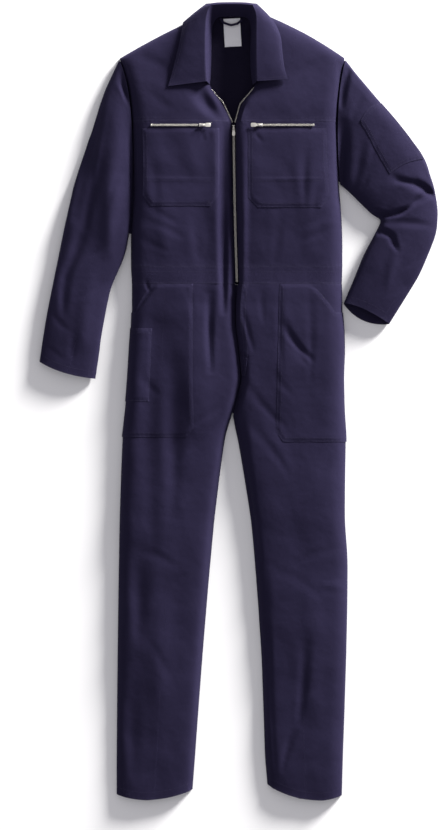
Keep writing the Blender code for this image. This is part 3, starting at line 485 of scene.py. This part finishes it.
for node, (size, area, held, under, grain) in clothCuts.items():
    small = "pocket" in node or node in ("fly", "collar")
    item = clothFrom(node, pieceName[node], fine, cellLength["small" if small else "wide"])
    settleCloth(item, 0.0 if node == "collar" else 1.0, puckerDepth, patchPress if "pocket" in node else 0.0)
    grainMap(item, grain)
    finishPiece(item, twill)
    cloth[node] = item
print("cloth pieces made:", len(cloth))

backCuts = {
    "back_bodice": [(0.455, 0.517), 0.2042, [(-15, 270), (-15, 790)]],
    "back_waistband": [(0.43, 0.036), 0.0152, [(-230, 256), (220, 256)]],
    "back_leg_right": [(0.25, 1.05), 0.1963, [(-112, 240), (-172, -810)]],
    "back_leg_left": [(0.23, 1.05), 0.1963, [(104, 240), (136, -810)]],
}
for node, (size, area, grain) in backCuts.items():
    item = clothFrom(node, pieceName[node], 0, cellLength["back"])
    addRub(item)
    grainMap(item, grain)
    finishPiece(item, twill)
    # the upper faces of the back pieces are the suit's inside, seen through the neck and openings; they get
    # the darker inside finish, painted shade under the fronts and collar
    item.data.materials.append(twillInside)
    for face in item.data.polygons:
        face.material_index = 1 if face.normal.z > 0.3 else 0
    cloth[node] = item
print("backs made")


# seams and stitching

def treeOf(items):
    points, faces = [], []
    for item in items:
        base = len(points)
        points += [vert.co.copy() for vert in item.data.vertices]
        faces += [tuple(base + n for n in face.vertices) for face in item.data.polygons]
    return BVHTree.FromPolygons(points, faces)


def topOf(tree, x, y):
    place, normal, _, _ = tree.ray_cast(Vector((x, y, 0.2)), Vector((0.0, 0.0, -1.0)))
    if place is None:
        return None
    return place, normal if normal.z > 0.0 else -normal


def upperRims(item):
    # lines along the upper edges of a piece, each a list of points in order
    shape = bmesh.new()
    shape.from_mesh(item.data)
    neighbours = {}
    for edge in rimEdges(shape):
        tilts = [face.normal.z for face in edge.link_faces]
        if max(tilts) > 0.3 and min(abs(tilt) for tilt in tilts) < 0.75:
            a, b = (vert.index for vert in edge.verts)
            neighbours.setdefault(a, []).append(b)
            neighbours.setdefault(b, []).append(a)
    shape.verts.ensure_lookup_table()
    places = {n: shape.verts[n].co.copy() for n in neighbours}
    shape.free()
    lines, used = [], set()
    starts = [n for n in neighbours if len(neighbours[n]) == 1] + list(neighbours)
    for start in starts:
        if start in used:
            continue
        line, here = [start], start
        used.add(start)
        while True:
            step = [n for n in neighbours[here] if n not in used]
            if not step:
                break
            here = step[0]
            used.add(here)
            line.append(here)
        if start in neighbours[here] and len(line) > 2:
            line.append(start)
        if len(line) > 3:
            lines.append([places[n] for n in line])
    return lines


def keptRuns(line, wanted):
    runs, run = [], []
    for place in line:
        if wanted(place.x / mm, place.y / mm):
            run.append(place)
        elif run:
            runs.append(run)
            run = []
    if run:
        runs.append(run)
    return [run for run in runs if len(run) > 3]


def evenly(line, pitch):
    # points a pitch apart along a line
    made, left = [line[0].copy()], pitch
    for a, b in zip(line, line[1:]):
        length = (b - a).length
        while left <= length:
            made.append(a.lerp(b, left / length))
            left += pitch
        left -= length
    return made


def insetLine(line, distance, inside):
    # the line moved sideways, in plan, towards the piece it edges
    made = []
    for n, place in enumerate(line):
        along = line[min(n + 2, len(line) - 1)] - line[max(n - 2, 0)]
        side = Vector((-along.y, along.x, 0.0))
        if side.length < 1e-9:
            continue
        side.normalize()
        if not inside(place + side * 0.0035):
            side.negate()
        made.append(place + side * distance)
    return made


edgeStep = 1.5


def edgeRuns(node, wanted, distance):
    item = cloth[node]
    own = treeOf([item])

    def inside(place):
        return topOf(own, place.x, place.y) is not None

    runs = []
    for line in upperRims(item):
        for run in keptRuns(line, wanted):
            sewn = insetLine(evenly(run, edgeStep * mm), distance * mm, inside)
            if len(sewn) > 4:
                runs.append(sewn)
    return runs


def joinCopies(name, unit, places, material):
    # one mesh from many copies of a unit, each with its own frame (place, along, up)
    verts = np.array([vert.co[:] for vert in unit.vertices])
    faces = [tuple(face.vertices) for face in unit.polygons]
    allVerts, allFaces = [], []
    for place, along, up in places:
        side = up.cross(along).normalized()
        along = side.cross(up).normalized()
        turn = np.array((side[:], along[:], up[:]))
        allFaces += [tuple(len(allVerts) * len(verts) + n for n in face) for face in faces]
        allVerts.append(verts @ turn + np.array(place[:]))
    mesh = bpy.data.meshes.new(name)
    mesh.from_pydata(np.concatenate(allVerts).tolist(), [], allFaces)
    item = newObject(name, mesh)
    item.data.uv_layers.new(name="grain")
    uv = np.array([item.data.vertices[loop.vertex_index].co[:2] for loop in item.data.loops])
    item.data.uv_layers["grain"].data.foreach_set("uv", uv.ravel())
    item.data.materials.append(material)
    item.data.shade_smooth()
    return item


def editWhole(*steps):
    # operators on the whole mesh of the active object
    bpy.ops.object.mode_set(mode="EDIT")
    bpy.ops.mesh.select_all(action="SELECT")
    for operator, settings in steps:
        operator(**settings)
    bpy.ops.object.mode_set(mode="OBJECT")


def sizeOf(spec, across, along):
    return {"value": (spec[across] * mm, spec[along] * mm, spec["height"] * mm)}


stitchSize = {"length": 2.7, "width": 0.75, "height": 0.5, "pitch": 3.3, "sink": 0.08}
bpy.ops.mesh.primitive_uv_sphere_add(segments=6, ring_count=4, radius=0.5)
bead = bpy.context.active_object
quarterTurn = {"value": math.pi / 2, "orient_axis": "X", "center_override": (0.0, 0.0, 0.0)}
editWhole((bpy.ops.transform.rotate, quarterTurn),
          (bpy.ops.transform.resize, sizeOf(stitchSize, "width", "length")))
stitchUnit = bead.data.copy()
bpy.data.objects.remove(bead)

everyCloth = treeOf(cloth.values())


def stitchesOn(line):
    places = []
    spots = evenly(line, stitchSize["pitch"] * mm)
    for a, b in zip(spots, spots[1:]):
        hit = topOf(everyCloth, (a.x + b.x) / 2.0, (a.y + b.y) / 2.0)
        if hit is None:
            continue
        place, up = hit
        if up.z < 0.25:
            continue
        along = b - a
        along.z = 0.0
        along = along - up * along.dot(up)
        if along.length > 1e-9:
            places.append((place - up * stitchSize["sink"] * mm, along.normalized(), up))
    return places


def anywhere(x, y):
    return True


# name of the sewing: (piece whose edge it follows, which part of that edge, distances in from it)
stitchRows = {
    "chestSeamRight": [("front_yoke_right", lambda x, y: y < 569 and x < -16, (2.4, 8.2))],
    "chestSeamLeft": [("front_yoke_left", lambda x, y: y < 569 and x > -5, (2.4, 8.2))],
    "shoulderSeamRight": [("front_yoke_right", lambda x, y: y > 692 and -238 < x < -72, (2.0, 8.0))],
    "shoulderSeamLeft": [("front_yoke_left", lambda x, y: y > 692 and 40 < x < 210, (2.0, 8.0))],
    "zipFlapRight": [("front_yoke_right", lambda x, y: x > -70 and 569 < y < 655, (3.0,)),
                     ("front_bodice_right", lambda x, y: x > -20 and 277 < y < 564, (3.0,)),
                     ("front_waistband_right", lambda x, y: x > -14 and 241 < y < 272, (3.0,))],
    "zipFlapLeft": [("front_yoke_left", lambda x, y: x < 42 and 569 < y < 655, (3.0,)),
                    ("front_bodice_left", lambda x, y: x < 4 and 277 < y < 564, (3.0, 18.0)),
                    ("front_waistband_left", lambda x, y: x < 6 and 241 < y < 272, (3.0, 18.0))],
    "waistSeamRight": [("front_waistband_right", lambda x, y: y > 271 and -214 < x < -14, (2.2, 12.0)),
                       ("front_waistband_right", lambda x, y: y < 241 and -214 < x < -12, (2.2,))],
    "waistSeamLeft": [("front_waistband_left", lambda x, y: y > 271 and 4 < x < 205, (2.2, 12.0)),
                      ("front_waistband_left", lambda x, y: y < 241 and 4 < x < 205, (2.2,))],
    "chestPocketRightSewing": [("chest_pocket_right", lambda x, y: y < 545, (1.8, 8.0)),
                               ("chest_pocket_right", lambda x, y: y > 548, (1.8,))],
    "chestPocketLeftSewing": [("chest_pocket_left", lambda x, y: y < 545, (1.8, 8.0)),
                              ("chest_pocket_left", lambda x, y: y > 548, (1.8,))],
    "hipPocketRightSewing": [("hip_pocket_right", lambda x, y: x > -232 and y < 236, (1.8, 8.0))],
    "hipPocketLeftSewing": [("hip_pocket_left", lambda x, y: x < 212 and y < 236, (1.8, 8.0))],
    "rulePocketSewing": [("rule_pocket", lambda x, y: x > -226, (1.8,)),
                         ("rule_pocket", lambda x, y: y > 140 and x > -226, (10.0,))],
    "flySewing": [("fly", lambda x, y: x > 1 or y < 70, (1.8, 8.0))],
    "sleevePocketSewing": [("sleeve_pocket", anywhere, (1.8, 7.5))],
    "collarSewing": [("collar", lambda x, y: not (-64 < x < 32 and y > 600), (5.5,))],
    "forkSewingRight": [("front_leg_right", lambda x, y: x > -12 and -30 < y < 50, (2.2, 8.0))],
    "armholeRightSewing": [("front_yoke_right", lambda x, y: x < -210 and 572 < y < 690, (2.2, 8.0)),
                           ("front_bodice_right", lambda x, y: x < -205 and 440 < y < 562, (2.2, 8.0))],
    "armholeLeftSewing": [("front_yoke_left", lambda x, y: x > 190 and 572 < y < 690, (2.2, 8.0)),
                          ("front_bodice_left", lambda x, y: x > 190 and 440 < y < 562, (2.2, 8.0))],
    "hemSewingRight": [("front_leg_right", lambda x, y: y < -770, (15.0,))],
    "hemSewingLeft": [("front_leg_left", lambda x, y: y < -770, (15.0,))],
    "cuffSewingRight": [("sleeve_right", lambda x, y: y < 84, (14.0,))],
    "cuffSewingLeft": [("sleeve_left", lambda x, y: y < 204 and x > 205, (14.0,))],
}
sewing = {}
for name, rows in stitchRows.items():
    places = []
    for node, wanted, distances in rows:
        for distance in distances:
            for line in edgeRuns(node, wanted, distance):
                places += stitchesOn(line)
    if places:
        sewing[name] = joinCopies(name, stitchUnit, places, thread)
    print("sewing", name, len(places))


# rows across the chest pockets, where the inner flap is sewn through
flapRows = {"flapSewingRight": ((-190, 453), (-50, 452)), "flapSewingLeft": ((27, 452), (172, 453))}
rowDrops = (0.0, 7.4)
for name, ((x0, y0), (x1, y1)) in flapRows.items():
    places = []
    for drop in rowDrops:
        line = [Vector((x0 * mm, (y0 - drop) * mm, 0.0)), Vector((x1 * mm, (y1 - drop) * mm, 0.0))]
        places += stitchesOn(line)
    sewing[name] = joinCopies(name, stitchUnit, places, thread)

# tack at the outer end of the right hem
tackLine = [Vector((-230.0 * mm, -795.0 * mm, 0.0)), Vector((-218.0 * mm, -797.0 * mm, 0.0))]
tack = []
for shift in (-1.0, 0.0, 1.0):
    tack += stitchesOn([place + Vector((0.0, shift * mm, 0.0)) for place in tackLine])
if tack:
    sewing["hemTack"] = joinCopies("hemTack", stitchUnit, tack, thread)

# seam allowances that lie inside the seams, so that no light comes through them
allowances = {
    "armholeAllowanceRight": {
        "width": 13.0, "flat": (0.013, 0.352), "on": "sleeve_right",
        "line": [(-238, 690, 3.2), (-236, 682, 3.4), (-232, 666, 3.6), (-224, 640, 3.8), (-219, 606, 4.0),
                 (-216, 567, 4.2), (-215, 500, 4.2), (-216, 446, 3.8), (-217, 400, 3.2), (-218, 340, 2.6)]},
    "armholeAllowanceLeft": {
        "width": 13.0, "flat": (0.013, 0.247), "on": "sleeve_left",
        "line": [(212, 691, 3.2), (211, 683, 3.4), (209, 666, 3.6), (205, 640, 3.8), (201, 606, 4.0),
                 (199, 567, 4.2), (201, 500, 4.2), (206, 446, 3.8)]},
    "forkAllowance": {
        "width": 16.0, "flat": (0.016, 0.262), "on": "front_leg_left",
        "line": [(-5, 236, 6.4), (-5, 200, 6.6), (-4, 150, 6.8), (1, 104, 7.0), (5, 52, 6.6), (-5, 1, 6.0),
                 (-12, -24, 5.2)]},
}
allowanceWall = 1.2


def smoothLine(points, steps):
    line = []
    for n in range(len(points) - 1):
        before, a = points[max(n - 1, 0)], points[n]
        b, after = points[n + 1], points[min(n + 2, len(points) - 1)]
        for k in range(steps):
            t = k / steps
            line.append(0.5 * (2 * a + (b - before) * t + (2 * before - 5 * a + 4 * b - after) * t * t
                               + (3 * (a - b) + after - before) * t ** 3))
    return line + [points[-1]]


def stripOn(name, line, width, thickness, material):
    verts, faces = [], []
    for n, place in enumerate(line):
        along = line[min(n + 1, len(line) - 1)] - line[max(n - 1, 0)]
        side = Vector((-along.y, along.x, 0.0)).normalized() * width / 2.0
        verts += [place - side, place - side * 0.5, place, place + side * 0.5, place + side]
        if n:
            base = 5 * n
            faces += [(base + k, base + k - 5, base + k - 4, base + k + 1) for k in range(4)]
    mesh = bpy.data.meshes.new(name)
    mesh.from_pydata([v[:] for v in verts], [], faces)
    item = newObject(name, mesh)
    applyModifier(item, "SOLIDIFY", thickness=thickness, offset=0.0)
    onlySelect(item)
    editWhole((bpy.ops.mesh.normals_make_consistent, {"inside": False}))
    addRub(item)
    middle = line[len(line) // 2] / mm
    grainMap(item, [(middle.x, line[0].y / mm + 1), (middle.x, line[-1].y / mm)])
    finishPiece(item, material)
    return item


for name, spec in allowances.items():
    line = smoothLine([Vector(point) * mm for point in spec["line"]], 5)
    sewing[name] = stripOn(name, line, spec["width"] * mm, allowanceWall * mm, twill)
print("seams sewn")


# zips

toothSize = {"width": 2.5, "length": 1.15, "height": 1.7, "edge": 0.28}
bpy.ops.mesh.primitive_cube_add(size=1.0)
tooth = bpy.context.active_object
editWhole((bpy.ops.transform.resize, sizeOf(toothSize, "width", "length")))
applyModifier(tooth, "BEVEL", width=toothSize["edge"] * mm, segments=1, limit_method="NONE")
toothUnit = tooth.data.copy()
bpy.data.objects.remove(tooth)


def midLine(node, alongX):
    # the middle line of a strip's upper side, from the corners of its solid
    shape = bmesh.new()
    shape.from_mesh(nodes[node].data)
    bmesh.ops.remove_doubles(shape, verts=shape.verts, dist=weldDistance)
    spots = [vert.co.copy() for vert in shape.verts]
    shape.free()
    spots.sort(key=lambda place: place.x if alongX else place.y)
    groups = []
    for place in spots:
        value = place.x if alongX else place.y
        if groups and value - groups[-1][0] < 3.2 * mm:
            groups[-1][1].append(place)
        else:
            groups.append((value, [place]))
    line = []
    for _, group in groups:
        middle = sum(group, Vector()) / len(group)
        middle.z = max(place.z for place in group)
        line.append(middle)
    return line


def teethOn(name, node, alongX, sides, drop, pitch):
    line = midLine(node, alongX)
    places = []
    for side in sides:
        spots = evenly(line, pitch * mm)
        for a, b in zip(spots, spots[1:]):
            along = (b - a).normalized()
            across = Vector((-along.y, along.x, 0.0)).normalized()
            up = across.cross(along)
            up = up if up.z > 0.0 else -up
            shift = 0.5 if side > 0.0 else 0.0
            place = a.lerp(b, 0.25 + shift) + across * side * mm - up * drop * mm
            places.append((place, along, up))
    item = joinCopies(name, toothUnit, places, nickel)
    item.data.shade_flat()
    return item


zipTeeth = {
    "mainZipChain": ("main_zip_chain", False, (-1.15, 1.15), 1.0, 2.5),
    "mainZipTeethRight": ("main_zip_teeth_right", False, (0.0,), 1.2, 2.5),
    "mainZipTeethLeft": ("main_zip_teeth_left", False, (0.0,), 1.2, 2.5),
    "chestZipRight": ("chest_zip_right", True, (-1.0, 1.0), 0.8, 2.3),
    "chestZipLeft": ("chest_zip_left", True, (-1.0, 1.0), 0.8, 2.3),
}
metalPieces = {}
for name, (node, alongX, sides, drop, pitch) in zipTeeth.items():
    item = teethOn(name, node, alongX, sides, drop, pitch)
    metalPieces[name] = (item, [node], "root")

# stops at the outer ends of the chest zips
stopSize = {"length": 2.4, "width": 4.6, "height": 2.0, "sink": 0.7, "edge": 0.5}
for name, node, end in (("chestStopRight", "chest_zip_right", 0), ("chestStopLeft", "chest_zip_left", -1)):
    place = midLine(node, True)[end]
    bpy.ops.object.select_all(action="DESELECT")
    bpy.ops.mesh.primitive_cube_add(size=1.0)
    item = bpy.context.active_object
    item.name = name
    editWhole((bpy.ops.transform.resize, sizeOf(stopSize, "length", "width")),
              (bpy.ops.transform.translate, {"value": place - Vector((0.0, 0.0, stopSize["sink"] * mm))}))
    applyModifier(item, "BEVEL", width=stopSize["edge"] * mm, segments=2, limit_method="NONE")
    finishPiece(item, nickel)
    metalPieces[name] = (item, [], "root")

# woven base under each chain, a copy of its solid pressed flatter
basePress = 1.5
for node in ("main_zip_chain", "chest_zip_right", "chest_zip_left", "main_zip_teeth_right",
             "main_zip_teeth_left"):
    mesh, shape = openCopy(node)
    tops = [vert for vert in shape.verts if any(face.normal.z > 0.7 for face in vert.link_faces)]
    bmesh.ops.translate(shape, verts=tops, vec=(0.0, 0.0, -basePress * mm))
    item = closeCopy(mesh, shape, pieceName[node] + "Base")
    addRub(item)
    grainMap(item, [(-10, 560), (-10, 240)])
    finishPiece(item, tapeWeave)
    sewing[item.name] = item

easedEdge = 0.18
for node in ("main_slider", "chest_slider_right", "chest_slider_left", "main_pull", "chest_pull_right",
             "chest_pull_left"):
    mesh, shape = openCopy(node)
    bmesh.ops.dissolve_limit(shape, angle_limit=math.radians(2), verts=shape.verts, edges=shape.edges)
    item = closeCopy(mesh, shape, pieceName[node])
    applyModifier(item, "BEVEL", width=easedEdge * mm, segments=2, limit_method="ANGLE")
    finishPiece(item, nickel, 30.0)
    body = node if node.endswith(("pull", "pull_right", "pull_left")) else "root"
    metalPieces[item.name] = (item, [node], body)
print("zips made")


# neck: label and hanger loop

softTrim = {}
trimRubReach = 1.5
for node, material, size, area, held, under in (
        ("care_label", satin, (0.034, 0.057), 0.0019, "laid", ["back_bodice"]),
        ("hanger_loop", twill, (0.010, 0.053), 0.00023, "hung", ["collar"])):
    item = clothFrom(node, pieceName[node], 3, cellLength["trim"])
    places = pointsOf(item)
    x, y, z = places.T / mm
    if node == "care_label":
        places[:, 2] += mm * (0.5 * np.sin(0.11 * (y - 718)) + 0.4 * np.sin(0.16 * (x + 30)))
        item.data.vertices.foreach_set("co", places.ravel())
    addRub(item, np.exp(-rimDistance(item, places) / trimRubReach))
    grainMap(item, [(-14, 778), (-12, 720)] if node == "care_label" else [(-38, 772), (6, 772)])
    finishPiece(item, material)
    softTrim[node] = (item, size, area, held, under)

tapes = {}
# node: width and length of the flat cut, its area, what it rests on
tapeCuts = {"zip_tape_right": [(0.011, 0.40), 0.0043, "front_bodice_right"],
            "zip_tape_left": [(0.011, 0.40), 0.0043, "front_bodice_left"]}
for node in tapeCuts:
    item = clothFrom(node, pieceName[node], 2, cellLength["tape"])
    addRub(item)
    grainMap(item, [(-10, 640), (-10, 250)])
    finishPiece(item, tapeWeave)
    tapes[node] = item
print("neck and tapes made")

# riding: each piece hangs on its body, and the solids that the pieces replace are hidden

for node, item in cloth.items():
    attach(item, "root")
    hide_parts(node)
for node, (item, size, area, held, under) in softTrim.items():
    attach(item, "root")
    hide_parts(node)
for node, item in tapes.items():
    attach(item, "root")
    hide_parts(node)
    size, area, under = tapeCuts[node]
for item in sewing.values():
    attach(item, "root")
for item, replaced, body in metalPieces.values():
    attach(item, body)
    if replaced:
        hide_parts(*replaced)

# floor, light and camera

stageSet = {"size": 40.0, "height": -0.0004,
            "pale": (0.93, 0.93, 0.94, 1.0), "dusky": (0.92, 0.92, 0.93, 1.0)}
bpy.ops.mesh.primitive_plane_add(size=stageSet["size"], location=(0.0, 0.0, stageSet["height"]))
floor = bpy.context.active_object
floor.name = "floor"
paper = bpy.data.materials.new("paper")
paper.use_nodes = True
tree = paper.node_tree
grain = nodeIn(tree, "ShaderNodeTexNoise", Scale=3.0, Detail=2.0)
tone = nodeIn(tree, "ShaderNodeMix", data_type="RGBA")
tone.inputs["A"].default_value = stageSet["dusky"]
tone.inputs["B"].default_value = stageSet["pale"]
tree.links.new(grain.outputs["Fac"], tone.inputs["Factor"])
tree.links.new(tone.outputs["Result"], tree.nodes["Principled BSDF"].inputs["Base Color"])
tree.nodes["Principled BSDF"].inputs["Roughness"].default_value = 0.9
floor.data.materials.append(paper)

lightSet = {"from": (5.5, 6.2, 1.75), "at": (0.0, -0.15, 0.0), "size": 2.5, "power": 3250.0, "sky": 0.50,
            "warm": (1.0, 0.985, 0.96), "cool": (0.965, 0.95, 1.0, 1.0)}
bpy.ops.object.light_add(type="AREA", location=lightSet["from"])
key = bpy.context.active_object
key.name = "keyLight"
key.data.shape = "DISK"
key.data.size = lightSet["size"]
key.data.energy = lightSet["power"]
key.data.color = lightSet["warm"]
aim = Vector(lightSet["at"]) - Vector(lightSet["from"])
key.rotation_euler = aim.to_track_quat("-Z", "Y").to_euler()

world = bpy.data.worlds.new("studio")
bpy.context.scene.world = world
world.use_nodes = True
world.node_tree.nodes["Background"].inputs["Color"].default_value = lightSet["cool"]
world.node_tree.nodes["Background"].inputs["Strength"].default_value = lightSet["sky"]
bpy.context.scene.view_settings.view_transform = "Standard"
bpy.context.scene.view_settings.look = "None"

cameraSet = {"over": (-0.0383, -0.0277), "height": 7.0, "frame": 1.685, "sensor": 36.0, "sees": 60.0}
bpy.ops.object.camera_add(location=(*cameraSet["over"], cameraSet["height"]), rotation=(0.0, 0.0, 0.0))
camera = bpy.context.active_object
camera.data.sensor_fit = "VERTICAL"
camera.data.sensor_height = cameraSet["sensor"]
camera.data.lens = cameraSet["sensor"] * cameraSet["height"] / cameraSet["frame"]
camera.data.clip_end = cameraSet["sees"]
bpy.context.scene.camera = camera
print("floor, light and camera set")
